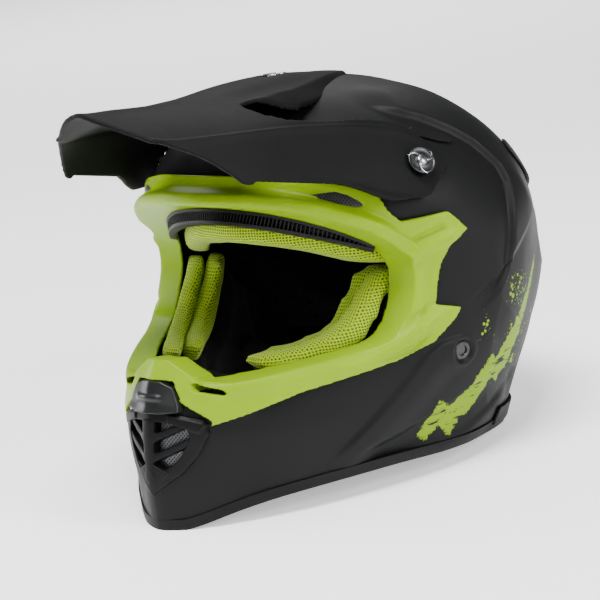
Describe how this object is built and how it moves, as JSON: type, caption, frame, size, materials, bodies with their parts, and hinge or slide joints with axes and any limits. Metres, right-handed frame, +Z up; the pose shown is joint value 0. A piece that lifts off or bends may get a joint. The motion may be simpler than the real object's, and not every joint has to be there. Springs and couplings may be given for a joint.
{
  "type": "motocross helmet",
  "caption": "Full-face off-road helmet with a tilting peak on three screws, framed eyeport, vented chin bar, padded lining and a strap with D-rings.",
  "frame": {"origin": "centre of the overall footprint, on the plane that the neck rim stands on", "axes": "+X the wearer's left, -Y forwards, +Z up from the rim plane"},
  "size_m": [0.24, 0.3309, 0.2426],
  "materials": {
    "shell_paint": "matte black lacquer over a moulded shell",
    "peak_plastic": "matte black moulded plastic, faint grain",
    "neon_plastic": "satin neon yellow-green moulded plastic",
    "graphite_plastic": "satin graphite plastic",
    "vent_plastic": "satin black plastic",
    "steel_mesh": "woven steel mesh",
    "screw_metal": "polished zinc with worn edges",
    "rubber_black": "matte black rubber",
    "eps_foam": "moulded black bead foam",
    "air_mesh_neon": "open neon air mesh over foam",
    "liner_fabric": "brushed black lining fabric over foam",
    "strap_webbing": "woven black webbing"
  },
  "bodies": {
    "helmet": {"outer_shell": "shell_paint", "crown_liner": "eps_foam", "jaw_liner": "eps_foam", "eyeport_trim": "neon_plastic", "brow_louvre": "vent_plastic", "brow_mesh_left": "steel_mesh", "brow_mesh_right": "steel_mesh", "peak_nut_left": "screw_metal", "peak_nut_right": "screw_metal", "peak_nut_top": "screw_metal", "nose_cap": "graphite_plastic", "mouth_vent_frame": "vent_plastic", "mouth_vent_blades": "vent_plastic", "mouth_vent_mesh": "steel_mesh", "chin_pad": "liner_fabric", "brow_pad": "air_mesh_neon", "crown_pad": "liner_fabric", "cheek_pad_left": "liner_fabric", "cheek_pad_right": "liner_fabric", "cheek_roll_left": "air_mesh_neon", "cheek_roll_right": "air_mesh_neon", "neck_roll": "liner_fabric", "strap_long": "strap_webbing", "strap_short": "strap_webbing", "strap_anchor_left": "screw_metal", "strap_anchor_right": "screw_metal", "jaw_screw_left": "screw_metal", "jaw_screw_right": "screw_metal", "edge_bead": "rubber_black", "rear_skirt": "rubber_black", "rear_vent_left": "vent_plastic", "rear_vent_right": "vent_plastic", "badge_left": "graphite_plastic", "badge_right": "graphite_plastic", "rear_spoiler": "shell_paint"},
    "peak": {"peak": "peak_plastic", "peak_bushing_left": "rubber_black", "peak_bushing_right": "rubber_black"},
    "screw_left": {"peak_screw_left": "screw_metal"},
    "screw_right": {"peak_screw_right": "screw_metal"},
    "screw_top": {"peak_screw_top": "screw_metal"},
    "ring_front": {"d_ring_front": "screw_metal"},
    "ring_back": {"d_ring_back": "screw_metal"}
  },
  "joints": [
    {"name": "peak_tilt", "type": "hinge", "parent": "helmet", "child": "peak", "pos_m": [0, -0.00538, 0.1836], "axis": [1, 0, 0], "range_deg": [-2, 6]},
    {"name": "peak_screw_left_turn", "type": "hinge", "parent": "helmet", "child": "screw_left", "pos_m": [0.10288, -0.00538, 0.1836], "axis": [0.7722, -0.3154, 0.5515], "continuous": true},
    {"name": "peak_screw_right_turn", "type": "hinge", "parent": "helmet", "child": "screw_right", "pos_m": [-0.10288, -0.00538, 0.1836], "axis": [-0.7722, -0.3154, 0.5515], "continuous": true},
    {"name": "peak_screw_top_turn", "type": "hinge", "parent": "helmet", "child": "screw_top", "pos_m": [0, -0.00275, 0.23071], "axis": [0, -0.0262, 0.9997], "continuous": true},
    {"name": "d_ring_front_swing", "type": "hinge", "parent": "helmet", "child": "ring_front", "pos_m": [0.03375, 0.00618, 0.042], "axis": [0, 1, 0], "range_deg": [-25, 30]},
    {"name": "d_ring_back_swing", "type": "hinge", "parent": "helmet", "child": "ring_back", "pos_m": [0.03825, 0.00618, 0.042], "axis": [0, 1, 0], "range_deg": [-25, 30]}
  ],
  "couplings": [
    {"joint": "d_ring_back_swing", "follows": "d_ring_front_swing", "ratio": 1}
  ]
}
